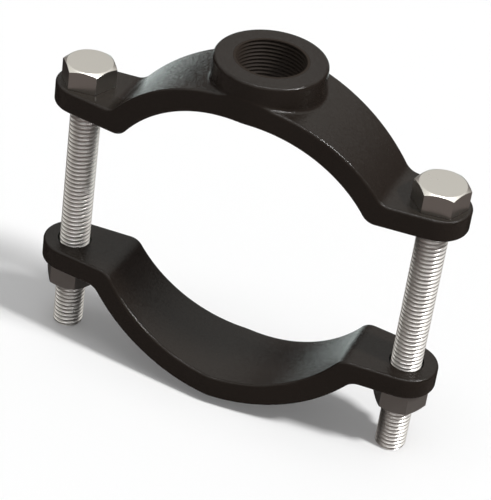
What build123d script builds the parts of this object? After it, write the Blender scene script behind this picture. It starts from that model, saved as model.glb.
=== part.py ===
from build123d import *
import os
from math import asin, degrees, radians, sqrt, tan

# Tapping saddle for a 4 inch pipe, with an M27 x 1.5 outlet. Millimetres.
# X runs from bolt to bolt, Y along the pipe, Z up through the outlet.
# The origin is on the pipe's axis, under the middle of the outlet.

# Pipe and bore of the two castings
pipe_diameter = 114.3
bore_clearance = 0.1

# Castings: an arched band with a flat lug at each end
lug_gap = 62.0  # between the facing lugs of saddle and strap
lug_thickness = 8.75
lug_end_radius = 12.0
saddle_wall = 8.75
strap_wall = 9.25
strap_half_width = 18.0  # at the crown
inner_corner_radius = 6.0  # between bore and lug face
valley_radius = 6.0  # between band and back of the lug
edge_radius = 1.1  # cast edges all round

# Outlet boss, tapped M27 x 1.5, and the seal in a groove around its inner end
boss_height = 7.8  # above the crown of the arch
boss_radius = 20.5
boss_rim_radius = 1.3
boss_foot_radius = 1.5
boss_ledge = 0.2  # between the boss and the saddle's outline at the crown
outlet_thread_diameter = 27.0
groove_lip = 1.5  # metal between thread and groove
seal_width = 2.4
seal_thickness = 2.25  # at the crown of the bore
seal_side_clearance = 0.05

# Hexagon bolts M12, threaded up to the head, and their nuts
bolt_diameter = 12.0
bolt_hole_clearance = 0.5
nut_room = 5.3  # between the strap's arch and the corners of its nuts
bolt_projection = 20.75  # below the nut, which makes the bolts 110 long
bolt_end_chamfer = 0.9
width_across_flats = 18.0
head_height = 8.25
nut_height = 9.75
nut_bore_clearance = 0.05
nut_mouth_chamfer = 0.6
hex_face_inset = 0.5  # from the flats in to the round end face
hex_chamfer_angle = 30.0
head_turn = 11.0
nut_turn = 3.7

# Derived sizes
bore_radius = pipe_diameter / 2 + bore_clearance
lug_face = lug_gap / 2
lug_back = lug_face + lug_thickness
corner_radius = width_across_flats / sqrt(3)
strap_root = sqrt((bore_radius + strap_wall) ** 2 - lug_back**2)
bolt_offset = strap_root + corner_radius + nut_room
lug_end = bolt_offset + lug_end_radius
bolt_hole_radius = bolt_diameter / 2 + bolt_hole_clearance
bolt_length = lug_gap + 2 * lug_thickness + nut_height + bolt_projection
outlet_height = bore_radius + saddle_wall + boss_height
thread_radius = outlet_thread_diameter / 2
groove_top = bore_radius + seal_thickness
groove_inner_radius = thread_radius + groove_lip
groove_outer_radius = groove_inner_radius + seal_width + 2 * seal_side_clearance
reach = lug_end + outlet_height  # more than half of the whole saddle, any way
on_outline = 0.01  # an edge nearer than this to the plan's outline lies on it


def arched_band(wall):
    """Arch and flat lugs above the pipe's axis, wider along the pipe than the casting will be."""
    outer_radius = bore_radius + wall
    bore_start = degrees(asin(lug_face / bore_radius))
    back_start = degrees(asin(lug_back / outer_radius))
    with BuildPart() as band:
        with BuildSketch(Plane.XZ) as profile:
            with BuildLine():
                bore = CenterArc((0, 0), bore_radius, bore_start, 180 - 2 * bore_start)
                back = CenterArc((0, 0), outer_radius, back_start, 180 - 2 * back_start)
                Polyline(bore @ 0, (lug_end, lug_face), (lug_end, lug_back), back @ 0)
                Polyline(bore @ 1, (-lug_end, lug_face), (-lug_end, lug_back), back @ 1)
            make_face()
            roots = profile.vertices().filter_by(lambda v: abs(v.X) < bolt_offset)
            fillet(roots.group_by(Axis.Y)[-1], valley_radius)
            roots = profile.vertices().filter_by(lambda v: abs(v.X) < bolt_offset)
            fillet(roots.group_by(Axis.Y)[0], inner_corner_radius)
        extrude(amount=reach, both=True)
    return band.part


def cut_to_plan(band, crown_radius):
    """The band cut to its plan, a hull of crown and lug ends, with cast edges and bolt holes."""
    with BuildPart() as casting:
        add(band)
        with BuildSketch(Plane.XY) as plan:
            with Locations((-bolt_offset, 0), (bolt_offset, 0)):
                Circle(lug_end_radius)
            Circle(crown_radius)
            make_hull()
        extrude(amount=reach, mode=Mode.INTERSECT)
        outline = plan.sketch.wire()
        edges = casting.edges().filter_by(Axis.Z, reverse=True)
        cast_edges = edges.filter_by(
            lambda e: outline.distance_to(Vertex((e @ 0.5).X, (e @ 0.5).Y, 0)) < on_outline
        )
        fillet(cast_edges, edge_radius)
        with Locations((-bolt_offset, 0, 0), (bolt_offset, 0, 0)):
            Hole(bolt_hole_radius)
    return casting.part


def hexagon(x, bottom, height, turn, chamfer_bottom):
    """Hexagonal head or nut on the bolt axis at x, its corners turned off to a cone at the ends."""
    face_radius = width_across_flats / 2 - hex_face_inset
    cone_radius = corner_radius + hex_face_inset  # clear of the corners
    drop = (cone_radius - face_radius) * tan(radians(hex_chamfer_angle))
    base = Plane((x, 0, bottom))
    upright = Plane((x, 0, bottom), x_dir=(1, 0, 0), z_dir=(0, -1, 0))
    with BuildPart() as prism:
        with BuildSketch(base):
            RegularPolygon(width_across_flats / 2, 6, major_radius=False, rotation=turn)
        extrude(amount=height)
        with BuildSketch(upright):
            with BuildLine():
                if chamfer_bottom:
                    foot = [(0, 0), (face_radius, 0), (cone_radius, drop)]
                else:
                    foot = [(0, 0), (cone_radius, 0)]
                head = [(cone_radius, height - drop), (face_radius, height), (0, height)]
                Polyline(*foot, *head, close=True)
            make_face()
        revolve(axis=Axis((x, 0, bottom), (0, 0, 1)), mode=Mode.INTERSECT)
    return prism.part


saddle_band = arched_band(saddle_wall)
with BuildPart() as bossed_band:
    add(saddle_band)
    with BuildSketch(Plane.XY.offset(outlet_height)):
        Circle(boss_radius)
    extrude(amount=lug_face - outlet_height)
    with BuildSketch(Plane.XZ):
        Circle(bore_radius)
    extrude(amount=reach, both=True, mode=Mode.SUBTRACT)
    boss_wall = bossed_band.faces().filter_by(GeomType.CYLINDER).sort_by(Axis.Z)[-1]
    boss_edges = boss_wall.edges().filter_by(Axis.Z, reverse=True).sort_by(Axis.Z)
    fillet(boss_edges[0], boss_foot_radius)
    fillet(bossed_band.faces().sort_by(Axis.Z)[-1].edges(), boss_rim_radius)

saddle_blank = cut_to_plan(bossed_band.part, boss_radius + boss_ledge)
with BuildPart() as upper_saddle:
    add(saddle_blank)
    with BuildSketch(Plane.XY.offset(groove_top)):
        Circle(groove_outer_radius)
        Circle(groove_inner_radius, mode=Mode.SUBTRACT)
    extrude(amount=-groove_top, mode=Mode.SUBTRACT)
    with BuildSketch(Plane.XY.offset(outlet_height)):
        Circle(thread_radius)
    extrude(amount=-outlet_height, mode=Mode.SUBTRACT)

with BuildPart() as outlet_seal:
    with BuildSketch(Plane.XY.offset(groove_top)):
        Circle(groove_outer_radius - seal_side_clearance)
        Circle(groove_inner_radius + seal_side_clearance, mode=Mode.SUBTRACT)
    extrude(amount=-groove_top)
    with BuildSketch(Plane.XZ):
        Circle(bore_radius)
    extrude(amount=reach, both=True, mode=Mode.SUBTRACT)

strap_band = arched_band(strap_wall)
strap_blank = cut_to_plan(strap_band, strap_half_width)
with BuildPart() as lower_strap:
    mirror(strap_blank, about=Plane.XY)

os.makedirs("parts", exist_ok=True)
castings = {"upper_saddle": upper_saddle, "outlet_seal": outlet_seal, "lower_strap": lower_strap}
for name, piece in castings.items():
    piece.part.label = name
    export_step(piece.part, f"parts/{name}.step")

for side, x in (("left", -bolt_offset), ("right", bolt_offset)):
    head_blank = hexagon(x, lug_back, head_height, head_turn, chamfer_bottom=False)
    with BuildPart() as bolt:
        add(head_blank)
        with BuildSketch(Plane((x, 0, lug_back))):
            Circle(bolt_diameter / 2)
        extrude(amount=-bolt_length)
        chamfer(bolt.faces().sort_by(Axis.Z)[0].edges(), bolt_end_chamfer)
    bolt.part.label = f"bolt_{side}"
    export_step(bolt.part, f"parts/bolt_{side}.step")

    nut_blank = hexagon(x, -lug_back - nut_height, nut_height, nut_turn, chamfer_bottom=True)
    with BuildPart() as nut:
        add(nut_blank)
        with Locations((x, 0, -lug_back)):
            Hole(bolt_diameter / 2 + nut_bore_clearance)
        mouths = nut.faces().filter_by(GeomType.CYLINDER).edges().filter_by(GeomType.CIRCLE)
        chamfer(mouths, nut_mouth_chamfer)
    nut.part.label = f"nut_{side}"
    export_step(nut.part, f"parts/nut_{side}.step")
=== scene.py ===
"""Tapping saddle: cast finishes, threaded bolts and nuts, outlet thread and stage."""
import math

import bmesh
import bpy
from bpy.props import FloatProperty, FloatVectorProperty, IntProperty, PointerProperty
from mathutils import Matrix, Vector


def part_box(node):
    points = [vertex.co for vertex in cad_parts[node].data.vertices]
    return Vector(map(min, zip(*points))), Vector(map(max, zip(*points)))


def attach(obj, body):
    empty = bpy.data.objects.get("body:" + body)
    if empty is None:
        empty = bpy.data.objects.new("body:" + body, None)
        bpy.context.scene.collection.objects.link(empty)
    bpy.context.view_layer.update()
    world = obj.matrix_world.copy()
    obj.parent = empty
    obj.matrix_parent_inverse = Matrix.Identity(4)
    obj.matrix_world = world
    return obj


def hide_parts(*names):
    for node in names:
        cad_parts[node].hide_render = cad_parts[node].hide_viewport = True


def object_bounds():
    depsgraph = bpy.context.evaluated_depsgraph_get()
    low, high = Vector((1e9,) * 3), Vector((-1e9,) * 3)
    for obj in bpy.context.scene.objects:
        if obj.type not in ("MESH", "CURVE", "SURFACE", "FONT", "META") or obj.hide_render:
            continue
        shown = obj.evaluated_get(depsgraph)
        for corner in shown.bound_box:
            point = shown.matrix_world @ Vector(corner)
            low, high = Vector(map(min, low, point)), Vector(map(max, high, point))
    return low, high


bl_info = {
    "name": "Tapping Saddle",
    "version": (1, 0, 0),
    "blender": (4, 5, 0),
    "location": "3D View > Sidebar > Tapping Saddle",
    "description": "Finishes, threads and stage for a two-piece tapping saddle",
    "category": "Object",
}

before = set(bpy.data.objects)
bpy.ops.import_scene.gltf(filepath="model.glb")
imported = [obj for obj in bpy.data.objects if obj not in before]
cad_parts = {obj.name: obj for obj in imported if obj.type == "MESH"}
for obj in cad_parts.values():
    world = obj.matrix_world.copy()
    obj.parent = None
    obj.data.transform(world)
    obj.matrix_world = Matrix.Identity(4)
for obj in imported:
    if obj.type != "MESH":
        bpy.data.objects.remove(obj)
cad_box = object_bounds()
SIDES = ("left", "right")
MM = 0.001
MERGE = 0.001 * MM  # Corners closer than this are one


def millimetres(name, description, default):
    return FloatProperty(name=name, description=description, default=default * MM, unit="LENGTH", precision=5)


def colour(name, description, default):
    return FloatVectorProperty(name=name, description=description, default=default, subtype="COLOR", size=3,
                               min=0.0, max=1.0)


def opaque(tint, share=1.0):
    """A colour with its alpha, made darker or paler by a share."""
    return [min(c * share, 1.0) for c in tint] + [1.0]


def middle(node):
    """The middle of a CAD node's box."""
    low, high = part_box(node)
    return (Vector(low) + Vector(high)) / 2


# Settings -------------------------------------------------------------------------------------------

class BoltSettings(bpy.types.PropertyGroup):
    """Sizes of the hexagon bolts and nuts"""
    diameter: millimetres("Thread diameter", "Outside diameter of the bolts' thread", 12.0)
    pitch: millimetres("Thread pitch", "Rise of the bolts' thread in one turn", 1.75)
    point: millimetres("Point chamfer", "Chamfer on the free end of a bolt", 0.9)
    across_flats: millimetres("Across flats", "Width of heads and nuts across their flats", 18.0)
    head_height: millimetres("Head height", "Height of a bolt's head", 8.25)
    face_inset: millimetres("Face inset", "From the flats in to the round end face", 0.5)
    corner_angle: FloatProperty(name="Corner angle", description="Slope at which the corners are turned off",
                                default=math.radians(30), subtype="ANGLE")
    rounding: millimetres("Edge rounding", "Rounding of the forged edges", 0.12)
    head_turn: FloatProperty(name="Head turn", description="Angle at which the heads' corners stand",
                             default=math.radians(11.0), subtype="ANGLE")
    nut_turn: FloatProperty(name="Nut turn", description="Angle at which the nuts' corners stand",
                            default=math.radians(3.7), subtype="ANGLE")
    columns: IntProperty(name="Columns", description="Facets round the bolts' thread", default=48, min=12)


class OutletSettings(bpy.types.PropertyGroup):
    """Sizes of the thread tapped in the outlet"""
    diameter: millimetres("Thread diameter", "Largest diameter of the outlet's thread", 27.0)
    pitch: millimetres("Thread pitch", "Rise of the outlet's thread in one turn", 1.5)
    seat: millimetres("Seat", "How far the thread's shell reaches into the casting", 0.05)
    bore_radius: millimetres("Bore radius", "Radius of the saddle's bore around the pipe", 57.25)
    columns: IntProperty(name="Columns", description="Facets round the outlet's thread", default=72, min=12)


class FinishSettings(bpy.types.PropertyGroup):
    """Colours of the finishes"""
    casting: colour("Casting", "Black coating of saddle and strap", (0.0165, 0.0122, 0.0095))
    bolt: colour("Bolt heads", "Bright plated steel of the bolts' heads", (0.70, 0.68, 0.64))
    thread: colour("Bolt threads", "Bright rolled threads of the bolts", (0.97, 0.95, 0.92))
    nut: colour("Nuts", "Darker plain steel of the nuts", (0.44, 0.36, 0.32))
    seal: colour("Seal", "Rubber of the outlet's seal", (0.012, 0.012, 0.012))


class StageSettings(bpy.types.PropertyGroup):
    """Floor, camera and lamps"""
    floor: colour("Floor", "Pale floor under the object", (0.96, 0.96, 0.96))
    sun: FloatProperty(name="Sun", description="Strength of the sun lamp", default=2.35, min=0.0)
    sun_from: FloatVectorProperty(name="Sun from", description="Direction in which the sun stands",
                                  default=(0.62, -0.07, 0.78), subtype="DIRECTION", size=3)
    top: FloatProperty(name="Top light", description="Strength of the broad lamp above", default=0.5, min=0.0)
    top_from: FloatVectorProperty(name="Top light from", description="Direction in which the top lamp stands",
                                  default=(-0.05, -0.10, 0.99), subtype="DIRECTION", size=3)
    fill: FloatProperty(name="Fill", description="Strength of the lamp that casts no shadow", default=0.42,
                        min=0.0)
    fill_from: FloatVectorProperty(name="Fill from", description="Direction in which the fill lamp stands",
                                   default=(0.04, -0.09, 0.995), subtype="DIRECTION", size=3)
    sky_light: FloatProperty(name="Sky light", description="Strength of the sky on matt surfaces",
                             default=0.17, min=0.0)
    # back_gloss and front_gloss are painted reflections: the floor glows with them for gloss alone;
    # front_gloss and sky_gloss also colour the sky that gloss sees
    back_gloss: colour("Back gloss", "Colour of the bright floor behind in gloss", (0.90, 1.0, 0.98))
    sky_gloss: colour("Sky gloss", "Colour of the sky overhead in gloss", (0.92, 0.91, 0.87))
    front_gloss: colour("Front gloss", "Colour of the room's front and sides in gloss", (0.155, 0.132, 0.125))
    lens: FloatProperty(name="Lens", description="Focal length on a 36 mm high sensor", default=152.88)


# Node helpers ---------------------------------------------------------------------------------------

class Nodes:
    """Adds nodes to a tree and joins them, with plain numbers set on the sockets themselves."""

    def __init__(self, tree):
        self.tree = tree
        self.tree.nodes.clear()

    def add(self, kind, inputs=None, **settings):
        node = self.tree.nodes.new(kind)
        for name, value in settings.items():
            setattr(node, name, value)
        for key, value in (inputs or {}).items():
            self.put(self.socket(node, key), value)
        return node

    def socket(self, node, key):
        """A node's input by number, or the enabled one of that name."""
        if isinstance(key, int):
            return node.inputs[key]
        return next(s for s in node.inputs if s.enabled and s.name == key)

    def put(self, socket, value):
        if isinstance(value, bpy.types.NodeSocket):
            self.tree.links.new(value, socket)
        else:
            socket.default_value = value

    def math(self, operation, *values):
        return self.add("ShaderNodeMath", dict(enumerate(values)), operation=operation).outputs[0]

    def vector(self, operation, inputs):
        return self.add("ShaderNodeVectorMath", inputs, operation=operation).outputs[0]

    def ramp(self, value, start, end):
        """0 where a value starts and 1 where it ends, smoothed in between."""
        return self.add("ShaderNodeMapRange", {"Value": value, "From Min": start, "From Max": end},
                        interpolation_type="SMOOTHSTEP").outputs[0]

    def blend(self, factor, first, second):
        """A colour between two others."""
        node = self.add("ShaderNodeMix", {"Factor": factor, "A": first, "B": second}, data_type="RGBA")
        return next(s for s in node.outputs if s.enabled)


def interface(tree, inputs=(), outputs=()):
    """Declares a tree's sockets: name, kind and, for an input, its default."""
    for name, kind, *default in inputs:
        socket = tree.interface.new_socket(name, in_out="INPUT", socket_type=kind)
        if default:
            socket.default_value = default[0]
    for name, kind in outputs:
        tree.interface.new_socket(name, in_out="OUTPUT", socket_type=kind)


# Threads --------------------------------------------------------------------------------------------

# All in pitches, along the thread from the middle of a crest
THREAD_ROWS = (-1 / 16, 1 / 16, 7 / 32, 3 / 8, 5 / 8, 25 / 32)  # Crest's edges, flank, root's edges, flank
CREST_EDGE, ROOT_EDGE = 1 / 16, 3 / 8
OUTSIDE_DEPTH, INSIDE_DEPTH = 0.6134, 0.5413  # Depth of a bolt's thread and of a tapped hole's
LEAD_IN = 1.5  # How far below its lower end a thread's rows begin
SPARE_TURNS = 2.5  # Turns beyond the thread's length, so that climbing rows cover both ends
HOLE_LEAD = 2.0  # How far the rows of a hole's thread reach down past the pipe's bore
POSITIVE = 1000.0  # Whole pitches that keep a count of pitches above zero

END_ROWS = 3.0  # Rows beside the thread's own: the first, the top and the last
SEAM = 2 * MERGE  # Distance at which a thread's two ends of a row are joined


def helical_rows_tree():
    """A sheet of rows that climb one pitch in each turn, with the angle and height of every point."""
    tree = bpy.data.node_groups.new("helical_rows", "GeometryNodeTree")
    interface(tree,
              [("Pitch", "NodeSocketFloat", 0.00175), ("Lower End", "NodeSocketFloat", 0.0),
               ("Upper End", "NodeSocketFloat", 0.1), ("Columns", "NodeSocketInt", 48)],
              [("Sheet", "NodeSocketGeometry"), ("Angle", "NodeSocketFloat"),
               ("Height", "NodeSocketFloat"), ("First Row", "NodeSocketBool"),
               ("Top Row", "NodeSocketBool"), ("Last Row", "NodeSocketBool")])
    n = Nodes(tree)
    given = n.add("NodeGroupInput").outputs
    per_turn = float(len(THREAD_ROWS))
    half = 0.5  # Keeps FLOOR and COMPARE clear of rounding
    length = n.math("SUBTRACT", given["Upper End"], given["Lower End"])
    turns = n.math("CEIL", n.math("ADD", n.math("DIVIDE", length, given["Pitch"]), SPARE_TURNS))
    rows = n.math("ADD", n.math("MULTIPLY", turns, per_turn), END_ROWS)
    points = n.math("ADD", given["Columns"], 1.0)
    grid = n.add("GeometryNodeMeshGrid", {"Vertices X": rows, "Vertices Y": points})
    index = n.add("GeometryNodeInputIndex").outputs[0]
    row = n.math("FLOOR", n.math("DIVIDE", n.math("ADD", index, half), points))
    column = n.math("SUBTRACT", index, n.math("MULTIPLY", row, points))
    turned = n.math("DIVIDE", column, given["Columns"])
    climb = n.math("SUBTRACT", row, 1.0)
    turn = n.math("FLOOR", n.math("DIVIDE", n.math("ADD", climb, half), per_turn))
    step = n.math("SUBTRACT", climb, n.math("MULTIPLY", turn, per_turn))
    choice = n.add("GeometryNodeIndexSwitch", data_type="FLOAT")
    while len(choice.index_switch_items) < len(THREAD_ROWS):
        choice.index_switch_items.new()
    n.put(choice.inputs["Index"], step)
    for k, place in enumerate(THREAD_ROWS):
        choice.inputs[k + 1].default_value = place
    pitches = n.math("ADD", n.math("ADD", turn, choice.outputs[0]), turned)
    height = n.math("MULTIPLY", n.math("SUBTRACT", pitches, LEAD_IN), given["Pitch"])
    n.add("NodeGroupOutput", {
        "Sheet": grid.outputs["Mesh"],
        "Angle": n.math("MULTIPLY", turned, math.tau),
        "Height": n.math("ADD", height, given["Lower End"]),
        "First Row": n.math("LESS_THAN", row, half),
        "Top Row": n.math("COMPARE", row, n.math("SUBTRACT", rows, 2.0), half),
        "Last Row": n.math("COMPARE", row, n.math("SUBTRACT", rows, 1.0), half),
    })
    return tree


def thread_profile_tree():
    """Radius of a metric thread at an angle and a height above the thread's start."""
    tree = bpy.data.node_groups.new("thread_profile", "GeometryNodeTree")
    interface(tree,
              [("Angle", "NodeSocketFloat"), ("Height", "NodeSocketFloat"),
               ("Pitch", "NodeSocketFloat", 0.00175), ("Major Radius", "NodeSocketFloat", 0.006),
               ("Depth", "NodeSocketFloat", 0.001)],
              [("Radius", "NodeSocketFloat")])
    n = Nodes(tree)
    given = n.add("NodeGroupInput").outputs
    pitches = n.math("SUBTRACT", n.math("DIVIDE", given["Height"], given["Pitch"]),
                     n.math("DIVIDE", given["Angle"], math.tau))
    across = n.math("PINGPONG", n.math("ADD", pitches, POSITIVE), 0.5)
    flank = n.add("ShaderNodeMapRange", {"Value": across, "From Min": CREST_EDGE, "From Max": ROOT_EDGE})
    drop = n.math("MULTIPLY", flank.outputs[0], given["Depth"])
    n.add("NodeGroupOutput", {"Radius": n.math("SUBTRACT", given["Major Radius"], drop)})
    return tree


def thread_tree(name, rows_tree, profile_tree, hollow):
    """A threaded rod, or the thread of a hole as a thin shell, closed at both ends and chamfered."""
    tree = bpy.data.node_groups.new(name, "GeometryNodeTree")
    interface(tree,
              [("Pitch", "NodeSocketFloat", 0.00175), ("Major Radius", "NodeSocketFloat", 0.006),
               ("Depth", "NodeSocketFloat", 0.001), ("Core Radius", "NodeSocketFloat", 0.0),
               ("Lower End", "NodeSocketFloat", 0.0), ("Upper End", "NodeSocketFloat", 0.1),
               ("Point", "NodeSocketFloat", 0.001), ("Bore Radius", "NodeSocketFloat", 0.0),
               ("Axis X", "NodeSocketFloat", 0.0), ("Columns", "NodeSocketInt", 48),
               ("Material", "NodeSocketMaterial")],
              [("Geometry", "NodeSocketGeometry")])
    n = Nodes(tree)
    given = n.add("NodeGroupInput").outputs
    start = given["Lower End"]
    if hollow:
        pipe_axis = n.math("SUBTRACT", start, given["Bore Radius"])
        start = n.math("SUBTRACT", start, n.math("MULTIPLY", given["Pitch"], HOLE_LEAD))
    rows = n.add("GeometryNodeGroup", {"Pitch": given["Pitch"], "Lower End": start,
                                       "Upper End": given["Upper End"], "Columns": given["Columns"]},
                 node_tree=rows_tree).outputs
    first, top, last = rows["First Row"], rows["Top Row"], rows["Last Row"]
    angle = rows["Angle"]
    cosine = n.math("COSINE", angle)
    sine = n.math("SINE", angle)

    def lower_end(radius):
        """Where the thread starts: on a flat end, or on the pipe's bore below the outlet."""
        if not hollow:
            return given["Lower End"]
        x = n.math("MULTIPLY", radius, cosine)
        room = n.math("SUBTRACT", n.math("POWER", given["Bore Radius"], 2.0), n.math("MULTIPLY", x, x))
        return n.math("ADD", pipe_axis, n.math("SQRT", room))

    height = n.math("MAXIMUM", rows["Height"], lower_end(given["Major Radius"]))
    height = n.math("MINIMUM", height, given["Upper End"])
    profile = n.add("GeometryNodeGroup", {"Angle": angle, "Height": n.math("SUBTRACT", height, start),
                                          "Pitch": given["Pitch"], "Major Radius": given["Major Radius"],
                                          "Depth": given["Depth"]}, node_tree=profile_tree)
    radius = profile.outputs["Radius"]
    if hollow:
        crest = n.math("SUBTRACT", given["Major Radius"], given["Depth"])
        cone = n.math("ADD", crest, n.math("SUBTRACT", given["Upper End"], height))
        radius = n.math("MINIMUM", radius, cone)
        height = n.math("MAXIMUM", height, lower_end(radius))
    else:
        tip = n.math("SUBTRACT", given["Major Radius"], given["Point"])
        cone = n.math("ADD", tip, n.math("SUBTRACT", height, given["Lower End"]))
        radius = n.math("MINIMUM", radius, cone)
    ends = n.math("MAXIMUM", n.math("MAXIMUM", first, top), last)
    radius = n.math("MULTIPLY_ADD", ends, n.math("SUBTRACT", given["Core Radius"], radius), radius)
    below = n.math("MAXIMUM", first, last) if hollow else first
    above = top if hollow else n.math("MAXIMUM", top, last)
    bottom = lower_end(given["Core Radius"])
    height = n.math("MULTIPLY_ADD", below, n.math("SUBTRACT", bottom, height), height)
    height = n.math("MULTIPLY_ADD", above, n.math("SUBTRACT", given["Upper End"], height), height)
    place = n.add("ShaderNodeCombineXYZ", {
        "X": n.math("ADD", n.math("MULTIPLY", radius, cosine), given["Axis X"]),
        "Y": n.math("MULTIPLY", radius, sine),
        "Z": height,
    })
    moved = n.add("GeometryNodeSetPosition", {"Geometry": rows["Sheet"], "Position": place.outputs[0]})
    merged = n.add("GeometryNodeMergeByDistance", {"Geometry": moved.outputs[0], "Distance": SEAM})
    realized = n.add("GeometryNodeRealizeInstances", {"Geometry": merged.outputs[0]})
    painted = n.add("GeometryNodeSetMaterial", {"Geometry": realized.outputs[0],
                                                "Material": given["Material"]})
    n.add("NodeGroupOutput", {"Geometry": painted.outputs[0]})
    return tree


def grown(name, tree, values):
    """The plain mesh that a geometry tree makes from these input values."""
    holder = bpy.data.objects.new(name + "_seed", bpy.data.meshes.new(name + "_seed"))
    bpy.context.collection.objects.link(holder)
    modifier = holder.modifiers.new("grow", "NODES")
    modifier.node_group = tree
    for item in tree.interface.items_tree:
        if item.item_type == "SOCKET" and item.in_out == "INPUT" and item.name in values:
            modifier[item.identifier] = values[item.name]
    holder.update_tag()
    evaluated = holder.evaluated_get(bpy.context.evaluated_depsgraph_get())
    mesh = bpy.data.meshes.new_from_object(evaluated)
    holder.modifiers.remove(modifier)
    bpy.data.objects.remove(holder)
    mesh.name = name
    return mesh


def tidied(mesh):
    """The same mesh with doubles merged, loose corners dropped and all faces turned outwards."""
    shape = bmesh.new()
    shape.from_mesh(mesh)
    bmesh.ops.remove_doubles(shape, verts=shape.verts, dist=MERGE)
    bmesh.ops.dissolve_degenerate(shape, edges=shape.edges, dist=MERGE)
    loose = [v for v in shape.verts if not v.link_faces]
    bmesh.ops.delete(shape, geom=loose, context="VERTS")
    bmesh.ops.recalc_face_normals(shape, faces=shape.faces)
    shape.to_mesh(mesh)
    shape.free()
    return mesh


def shown(name, mesh, finishes, body, slot, *replaced):
    """Puts a finished mesh in the scene, riding on its body."""
    piece = bpy.data.objects.new(name, mesh)
    bpy.context.collection.objects.link(piece)
    if mesh.materials:
        mesh.materials.clear()
    for finish_name in finishes:
        mesh.materials.append(palette()[finish_name])
    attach(piece, body)
    if replaced:
        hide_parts(*replaced)


# Hexagons -------------------------------------------------------------------------------------------

COLUMNS_PER_FLAT = 12
COUNTERSINK = 0.6 * MM  # Chamfer at both mouths of a nut's bore
CLEARANCE = 0.05 * MM  # Between a nut's bore and the bolt's thread
SHARP = math.radians(20)  # Edges that turn by more than this are rounded


def hexagon_mesh(name, axis_x, bottom, top, turn, bore, settings):
    """A head, or a nut if it has a bore, with its corners turned off to a cone."""
    apothem = settings.across_flats / 2
    face = apothem - settings.face_inset
    slope = math.tan(settings.corner_angle)
    columns = 6 * COLUMNS_PER_FLAT
    shape = bmesh.new()
    rings = []
    for k in range(columns):
        angle = math.tau * k / columns
        from_flat = angle % (math.pi / 3) - math.pi / 6
        reach = apothem / math.cos(from_flat)
        drop = (reach - face) * slope
        outline = [(face, top), (reach, top - drop)]
        if bore:
            mouth = bore + COUNTERSINK
            outline += [(reach, bottom + drop), (face, bottom), (mouth, bottom), (bore, bottom + COUNTERSINK),
                        (bore, top - COUNTERSINK), (mouth, top)]
        else:
            outline += [(reach, bottom)]
        cosine, sine = math.cos(angle + turn), math.sin(angle + turn)
        rings.append([shape.verts.new((axis_x + r * cosine, r * sine, z)) for r, z in outline])
    count = len(rings[0])
    for this, following in zip(rings, rings[1:] + rings[:1]):
        steps = range(count) if bore else range(count - 1)
        for j in steps:
            shape.faces.new((this[j], following[j], following[(j + 1) % count], this[(j + 1) % count]))
    if not bore:
        shape.faces.new([ring[0] for ring in rings])
        shape.faces.new([ring[-1] for ring in rings])
    bmesh.ops.recalc_face_normals(shape, faces=shape.faces)
    mesh = bpy.data.meshes.new(name)
    shape.to_mesh(mesh)
    shape.free()
    return mesh


def rounded(mesh, width):
    """The mesh with its sharp edges rounded over a small width, as a plain mesh."""
    holder = bpy.data.objects.new(mesh.name + "_seed", mesh)
    bpy.context.collection.objects.link(holder)
    bevel = holder.modifiers.new("round", "BEVEL")
    bevel.width = width
    bevel.segments = 2
    bevel.limit_method = "ANGLE"
    bevel.angle_limit = SHARP
    evaluated = holder.evaluated_get(bpy.context.evaluated_depsgraph_get())
    result = bpy.data.meshes.new_from_object(evaluated)
    bpy.data.objects.remove(holder)
    return result


def joined(name, *meshes):
    """Several meshes as one, each with a material slot of its own."""
    shape = bmesh.new()
    for slot, mesh in enumerate(meshes):
        known = len(shape.faces)
        shape.from_mesh(mesh)
        shape.faces.ensure_lookup_table()
        for face in shape.faces[known:]:
            face.material_index = slot
    result = bpy.data.meshes.new(name)
    shape.to_mesh(result)
    shape.free()
    return result


# Finishes -------------------------------------------------------------------------------------------

MOTTLE_LOW, MOTTLE_HIGH = 0.3, 0.7  # Nearly all of the mottling noise lies between these
OUTLET_SHARE = 1.7  # How much paler the outlet thread's colour is than the castings'


def grain_group():
    """Fine grain, slow mottling and a normal that leans unevenly, shared by every finish."""
    tree = bpy.data.node_groups.new("surface_grain", "ShaderNodeTree")
    interface(tree,
              [("Grain Scale", "NodeSocketFloat", 1500.0), ("Mottle Scale", "NodeSocketFloat", 45.0),
               ("Tilt Scale", "NodeSocketFloat", 1000.0), ("Tilt", "NodeSocketFloat", 0.0)],
              [("Grain", "NodeSocketFloat"), ("Mottle", "NodeSocketFloat"), ("Normal", "NodeSocketVector")])
    n = Nodes(tree)
    given = n.add("NodeGroupInput").outputs
    place = n.add("ShaderNodeTexCoord").outputs["Object"]
    grain = n.add("ShaderNodeTexNoise", {"Vector": place, "Scale": given["Grain Scale"], "Detail": 1.5,
                                         "Roughness": 0.6})
    mottle = n.add("ShaderNodeTexNoise", {"Vector": place, "Scale": given["Mottle Scale"], "Detail": 4.0,
                                          "Roughness": 0.55})
    pits = n.add("ShaderNodeTexNoise", {"Vector": place, "Scale": given["Tilt Scale"], "Detail": 1.0}).outputs
    lean = n.vector("SUBTRACT", {0: pits["Color"], 1: (0.5, 0.5, 0.5)})
    lean = n.vector("SCALE", {0: lean, "Scale": given["Tilt"]})
    upright = n.add("ShaderNodeNewGeometry").outputs["Normal"]
    tilted = n.vector("NORMALIZE", {0: n.vector("ADD", {0: upright, 1: lean})})
    n.add("NodeGroupOutput", {"Grain": grain.outputs["Fac"], "Mottle": mottle.outputs["Fac"],
                              "Normal": tilted})
    return tree


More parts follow.
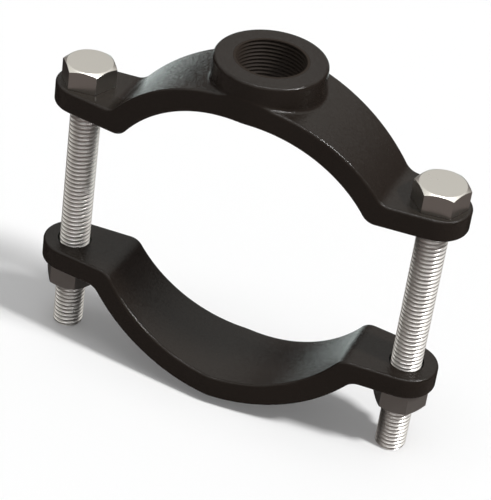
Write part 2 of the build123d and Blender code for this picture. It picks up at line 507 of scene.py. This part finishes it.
def groove_group():
    """How deep a point lies in a thread: 0 on the crests, 1 in the roots, the mask for painted shade in the
    roots.
    """
    tree = bpy.data.node_groups.new("thread_grooves", "ShaderNodeTree")
    interface(tree,
              [("Axis X", "NodeSocketFloat", 0.0), ("Crest Radius", "NodeSocketFloat", 0.006),
               ("Root Radius", "NodeSocketFloat", 0.005)],
              [("Groove", "NodeSocketFloat")])
    n = Nodes(tree)
    given = n.add("NodeGroupInput").outputs
    place = n.add("ShaderNodeTexCoord").outputs["Object"]
    parts = n.add("ShaderNodeSeparateXYZ", {0: place}).outputs
    x = n.math("SUBTRACT", n.math("ABSOLUTE", parts["X"]), given["Axis X"])
    y = parts["Y"]
    radius = n.math("SQRT", n.math("ADD", n.math("MULTIPLY", x, x), n.math("MULTIPLY", y, y)))
    depth = n.add("ShaderNodeMapRange", {"Value": radius, "From Min": given["Crest Radius"],
                                         "From Max": given["Root Radius"]})
    n.add("NodeGroupOutput", {"Groove": depth.outputs[0]})
    return tree


def finish(name, base, roughness, grain, mottle=0.12, grain_scale=1500.0, relief=0.0001, metallic=0.0,
           specular=0.5, edge=1.0, tilt=0.0, grooves=None, painted_root_shade=1.0):
    """A material: a mottled colour, a varied roughness, a fine grain, and painted shade that darkens thread
    roots.
    """
    material = bpy.data.materials.new(name)
    material.use_nodes = True
    n = Nodes(material.node_tree)
    texture = n.add("ShaderNodeGroup", {"Grain Scale": grain_scale, "Tilt": tilt}, node_tree=grain).outputs
    paint = n.blend(texture["Mottle"], opaque(base, 1 - mottle), opaque(base, 1 + mottle))
    if grooves:
        tree, axis_x, crest, root = grooves
        depth = n.add("ShaderNodeGroup", {"Axis X": axis_x, "Crest Radius": crest, "Root Radius": root},
                      node_tree=tree).outputs["Groove"]
        # Painted shade: the thread roots darken towards a share of the base colour as they deepen
        paint = n.blend(n.math("POWER", depth, 2.0), paint, opaque(base, painted_root_shade))
    sheen = n.add("ShaderNodeMapRange", {"Value": texture["Mottle"], "From Min": MOTTLE_LOW,
                                         "From Max": MOTTLE_HIGH, "To Min": roughness[0],
                                         "To Max": roughness[1]})
    bump = n.add("ShaderNodeBump", {"Strength": 1.0, "Distance": relief, "Height": texture["Grain"]})
    if tilt:
        n.put(bump.inputs["Normal"], texture["Normal"])
    shader = n.add("ShaderNodeBsdfPrincipled", {"Base Color": paint, "Metallic": metallic,
                                                "Roughness": sheen.outputs[0], "Normal": bump.outputs[0],
                                                "Specular IOR Level": specular,
                                                "Specular Tint": (edge, edge, edge, 1.0)})
    n.add("ShaderNodeOutputMaterial", {"Surface": shader.outputs[0]})


def palette():
    """The finishes by name, made the first time that they are asked for."""
    if "casting_black" not in bpy.data.materials:
        scene = bpy.context.scene
        colours, bolts, outlet = scene.saddle_finish, scene.saddle_bolts, scene.saddle_outlet
        grain, grooves = grain_group(), groove_group()
        crest = bolts.diameter / 2
        shank = (grooves, middle("bolt_right").x, crest, crest - OUTSIDE_DEPTH * bolts.pitch)
        root = outlet.diameter / 2
        hole = (grooves, 0.0, root - INSIDE_DEPTH * outlet.pitch, root)
        paler = [c * OUTLET_SHARE for c in colours.casting]
        finish("casting_black", colours.casting, (0.11, 0.17), grain, grain_scale=2400.0, specular=0.27,
               tilt=0.24)
        finish("outlet_black", paler, (0.5, 0.56), grain, relief=0.00001, specular=0.1, grooves=hole)
        # The bolts' thread roots are darkened with painted shade, to 0.6 of the thread's colour
        finish("bolt_thread", colours.thread, (0.31, 0.36), grain, mottle=0.03, relief=0.000005,
               metallic=1.0, edge=0.3, grooves=shank, painted_root_shade=0.6)
        finish("bolt_head", colours.bolt, (0.26, 0.32), grain, mottle=0.03, relief=0.000005, metallic=1.0)
        finish("nut_steel", colours.nut, (0.30, 0.38), grain, mottle=0.08, relief=0.00001, metallic=1.0)
        finish("seal_rubber", colours.seal, (0.6, 0.7), grain, relief=0.00002)
    return bpy.data.materials


# Operators ------------------------------------------------------------------------------------------

class OBJECT_OT_saddle_castings(bpy.types.Operator):
    """Give the upper saddle, lower strap and outlet seal their finishes"""
    bl_idname = "object.saddle_castings"
    bl_label = "Finish Castings"

    def execute(self, context):
        finishes = palette()
        for node, material in (("upper_saddle", "casting_black"), ("lower_strap", "casting_black"),
                               ("outlet_seal", "seal_rubber")):
            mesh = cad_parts[node].data
            mesh.materials.clear()
            mesh.materials.append(finishes[material])
        return {"FINISHED"}


class OBJECT_OT_saddle_bolts(bpy.types.Operator):
    """Make the two hexagon bolts with their threads"""
    bl_idname = "object.saddle_bolts"
    bl_label = "Make Bolts"

    def execute(self, context):
        sizes = context.scene.saddle_bolts
        steel = palette()["bolt_thread"]
        tree = thread_tree("bolt_thread", helical_rows_tree(), thread_profile_tree(), hollow=False)
        for side in SIDES:
            node = f"bolt_{side}"
            low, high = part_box(node)
            x = middle(node).x
            seat = high[2] - sizes.head_height
            shank = grown(f"{node}_shank", tree, {
                "Pitch": sizes.pitch, "Major Radius": sizes.diameter / 2,
                "Depth": OUTSIDE_DEPTH * sizes.pitch, "Lower End": low[2],
                "Upper End": seat + sizes.rounding, "Point": sizes.point, "Axis X": x,
                "Columns": sizes.columns, "Material": steel})
            head = hexagon_mesh(f"{node}_head", x, seat, high[2], sizes.head_turn, None, sizes)
            head = rounded(head, sizes.rounding)
            bolt = joined(f"threaded_bolt_{side}", tidied(shank), tidied(head))
            shown(f"threaded_bolt_{side}", bolt, ("bolt_thread", "bolt_head"), "saddle", "bolt_steel", node)
        return {"FINISHED"}


class OBJECT_OT_saddle_nuts(bpy.types.Operator):
    """Make the two hexagon nuts"""
    bl_idname = "object.saddle_nuts"
    bl_label = "Make Nuts"

    def execute(self, context):
        sizes = context.scene.saddle_bolts
        for side in SIDES:
            node = f"nut_{side}"
            low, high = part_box(node)
            bore = sizes.diameter / 2 + CLEARANCE
            nut = hexagon_mesh(f"hexagon_nut_{side}", middle(node).x, low[2], high[2], sizes.nut_turn, bore,
                               sizes)
            shown(f"hexagon_nut_{side}", tidied(rounded(nut, sizes.rounding)), ("nut_steel",), f"{side}_nut",
                  "nut_steel", node)
        return {"FINISHED"}


class OBJECT_OT_saddle_outlet(bpy.types.Operator):
    """Make the thread that is tapped right through the outlet"""
    bl_idname = "object.saddle_outlet"
    bl_label = "Make Outlet Thread"

    def execute(self, context):
        sizes = context.scene.saddle_outlet
        coating = palette()["outlet_black"]
        tree = thread_tree("outlet_thread", bpy.data.node_groups["helical_rows"],
                           bpy.data.node_groups["thread_profile"], hollow=True)
        mesh = grown("outlet_thread", tree, {
            "Pitch": sizes.pitch, "Major Radius": sizes.diameter / 2, "Depth": INSIDE_DEPTH * sizes.pitch,
            "Core Radius": sizes.diameter / 2 + sizes.seat, "Lower End": sizes.bore_radius,
            "Upper End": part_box("upper_saddle")[1][2], "Bore Radius": sizes.bore_radius, "Axis X": 0.0,
            "Columns": sizes.columns, "Material": coating})
        shown("outlet_thread", tidied(mesh), ("outlet_black",), "saddle", "casting")
        return {"FINISHED"}


FLOOR_HALF = 6.0
AWAY = (0.62, 0.78)  # Direction on the floor that leads away from the camera
# Where the floor's painted reflection, the glow that gloss sees on it, changes, in metres: from the first
# place to the second
BACK_BRIGHTENS = (0.035, 0.055)
RIGHT_ENDS_BACK = (0.045, 0.02)
FRONT_BEGINS = (-0.01, -0.03)
RIGHT_BEGINS = (0.05, 0.08)
UNDER_SADDLE = 0.2  # How bright the floor's painted reflection between front and back is, as a share of the front
SKY_BRIGHTENS = (0.25, 0.62)  # Heights in the sky, of 1 overhead


class OBJECT_OT_saddle_stage(bpy.types.Operator):
    """Set the pale floor, the lamps and the camera"""
    bl_idname = "object.saddle_stage"
    bl_label = "Set Stage"

    def execute(self, context):
        scene = context.scene
        settings = scene.saddle_stage
        self.floor(settings, cad_box[0][2])
        self.world(scene, settings)
        self.lamps(settings)
        self.camera(scene, settings)
        scene.view_settings.view_transform = "Standard"
        return {"FINISHED"}

    def floor(self, settings, height):
        """A wide floor, clear from below, that glows for gloss alone with a painted reflection: dark, but for
        a pale part behind on the left.
        """
        mesh = bpy.data.meshes.new("floor")
        corners = [(x * FLOOR_HALF, y * FLOOR_HALF, height) for x, y in ((-1, -1), (1, -1), (1, 1), (-1, 1))]
        mesh.from_pydata(corners, [], [(0, 1, 2, 3)])
        floor = bpy.data.objects.new("floor", mesh)
        bpy.context.collection.objects.link(floor)
        material = bpy.data.materials.new("floor_white")
        material.use_nodes = True
        n = Nodes(material.node_tree)
        paint = n.add("ShaderNodeBsdfDiffuse", {"Color": opaque(settings.floor)})
        parts = n.add("ShaderNodeSeparateXYZ", {0: n.add("ShaderNodeTexCoord").outputs["Object"]}).outputs
        beyond = n.math("ADD", n.math("MULTIPLY", parts["X"], AWAY[0]),
                        n.math("MULTIPLY", parts["Y"], AWAY[1]))
        pale = n.math("MULTIPLY", n.ramp(beyond, *BACK_BRIGHTENS), n.ramp(parts["X"], *RIGHT_ENDS_BACK))
        ahead = n.ramp(parts["Y"], *FRONT_BEGINS)
        right = n.ramp(n.math("SUBTRACT", parts["X"], parts["Y"]), *RIGHT_BEGINS)
        near = n.blend(n.math("MAXIMUM", ahead, right), opaque(settings.front_gloss, UNDER_SADDLE),
                       opaque(settings.front_gloss))
        # Painted reflection: for gloss alone the floor glows with these colours in place of its lit white
        painted_reflection = n.add("ShaderNodeEmission", {"Color": n.blend(pale, near, opaque(settings.back_gloss))})
        rays = n.add("ShaderNodeLightPath").outputs
        mirrored = n.add("ShaderNodeMixShader", {0: rays["Is Glossy Ray"], 1: paint.outputs[0],
                                                 2: painted_reflection.outputs[0]})
        under = n.add("ShaderNodeNewGeometry").outputs["Backfacing"]
        clear = n.add("ShaderNodeBsdfTransparent")
        one_sided = n.add("ShaderNodeMixShader", {0: under, 1: mirrored.outputs[0], 2: clear.outputs[0]})
        n.add("ShaderNodeOutputMaterial", {"Surface": one_sided.outputs[0]})
        mesh.materials.append(material)

    def world(self, scene, settings):
        """White to the camera and through glass, even for matt surfaces, and for gloss bright overhead."""
        world = bpy.data.worlds.new("studio")
        scene.world = world
        world.use_nodes = True
        n = Nodes(world.node_tree)
        parts = n.add("ShaderNodeSeparateXYZ", {0: n.add("ShaderNodeTexCoord").outputs["Generated"]}).outputs
        gloss = n.blend(n.ramp(parts["Z"], *SKY_BRIGHTENS), opaque(settings.front_gloss),
                        opaque(settings.sky_gloss))
        rays = n.add("ShaderNodeLightPath").outputs
        plain = opaque([settings.sky_light] * 3)
        lit = n.blend(rays["Is Glossy Ray"], plain, gloss)
        direct = n.math("MAXIMUM", rays["Is Camera Ray"], rays["Is Transmission Ray"])
        seen = n.blend(direct, lit, (1.0, 1.0, 1.0, 1.0))
        sky = n.add("ShaderNodeBackground", {"Color": seen, "Strength": 1.0})
        n.add("ShaderNodeOutputWorld", {"Surface": sky.outputs[0]})

    def lamps(self, settings):
        """A sun from the right, a broad lamp above, and a fill from above that casts no shadow."""
        for name, energy, width, stands, shades in (
                ("key", settings.sun, 8.0, settings.sun_from, True),
                ("top", settings.top, 30.0, settings.top_from, True),
                ("shank_fill", settings.fill, 12.0, settings.fill_from, False)):
            data = bpy.data.lights.new(name, "SUN")
            data.energy = energy
            data.angle = math.radians(width)
            data.use_shadow = shades
            lamp = bpy.data.objects.new(name, data)
            lamp.rotation_euler = Vector(stands).to_track_quat("Z", "Y").to_euler()
            bpy.context.collection.objects.link(lamp)

    def camera(self, scene, settings):
        """The camera looks down across the saddle from its front right, rolled a little."""
        place = Vector((0.214853, -0.602729, 0.446447))
        back = Vector((0.272839, -0.767822, 0.579662))
        right = Vector((0.904203, 0.410453, 0.118091))
        up = Vector((-0.328597, 0.491913, 0.806254))
        data = bpy.data.cameras.new("camera")
        data.sensor_fit = "VERTICAL"
        data.sensor_height = 36.0
        data.lens = settings.lens
        data.clip_end = 50.0
        camera = bpy.data.objects.new("camera", data)
        turn = Matrix((right, up, back)).transposed().to_4x4()
        camera.matrix_world = Matrix.Translation(place) @ turn
        bpy.context.collection.objects.link(camera)
        scene.camera = camera


class VIEW3D_PT_saddle(bpy.types.Panel):
    """Lists the saddle's pieces and their settings"""
    bl_idname = "VIEW3D_PT_saddle"
    bl_label = "Tapping Saddle"
    bl_space_type = "VIEW_3D"
    bl_region_type = "UI"
    bl_category = "Tapping Saddle"

    def draw(self, context):
        scene = context.scene
        for settings, names in (
                (scene.saddle_finish, ("object.saddle_castings",)),
                (scene.saddle_bolts, ("object.saddle_bolts", "object.saddle_nuts")),
                (scene.saddle_outlet, ("object.saddle_outlet",)),
                (scene.saddle_stage, ("object.saddle_stage",))):
            box = self.layout.box()
            for name in settings.bl_rna.properties.keys():
                if name not in {"rna_type", "name"}:
                    box.prop(settings, name)
            for name in names:
                box.operator(name)


SETTINGS = {
    "saddle_bolts": BoltSettings,
    "saddle_outlet": OutletSettings,
    "saddle_finish": FinishSettings,
    "saddle_stage": StageSettings,
}
CLASSES = (
    BoltSettings,
    OutletSettings,
    FinishSettings,
    StageSettings,
    OBJECT_OT_saddle_castings,
    OBJECT_OT_saddle_bolts,
    OBJECT_OT_saddle_nuts,
    OBJECT_OT_saddle_outlet,
    OBJECT_OT_saddle_stage,
    VIEW3D_PT_saddle,
)


def register():
    for cls in CLASSES:
        bpy.utils.register_class(cls)
    for name, group in SETTINGS.items():
        setattr(bpy.types.Scene, name, PointerProperty(type=group))


def unregister():
    for name in SETTINGS:
        delattr(bpy.types.Scene, name)
    for cls in reversed(CLASSES):
        bpy.utils.unregister_class(cls)


def main():
    register()
    bpy.ops.object.saddle_castings()
    bpy.ops.object.saddle_bolts()
    bpy.ops.object.saddle_nuts()
    bpy.ops.object.saddle_outlet()
    bpy.ops.object.saddle_stage()


if __name__ == "__main__":
    main()
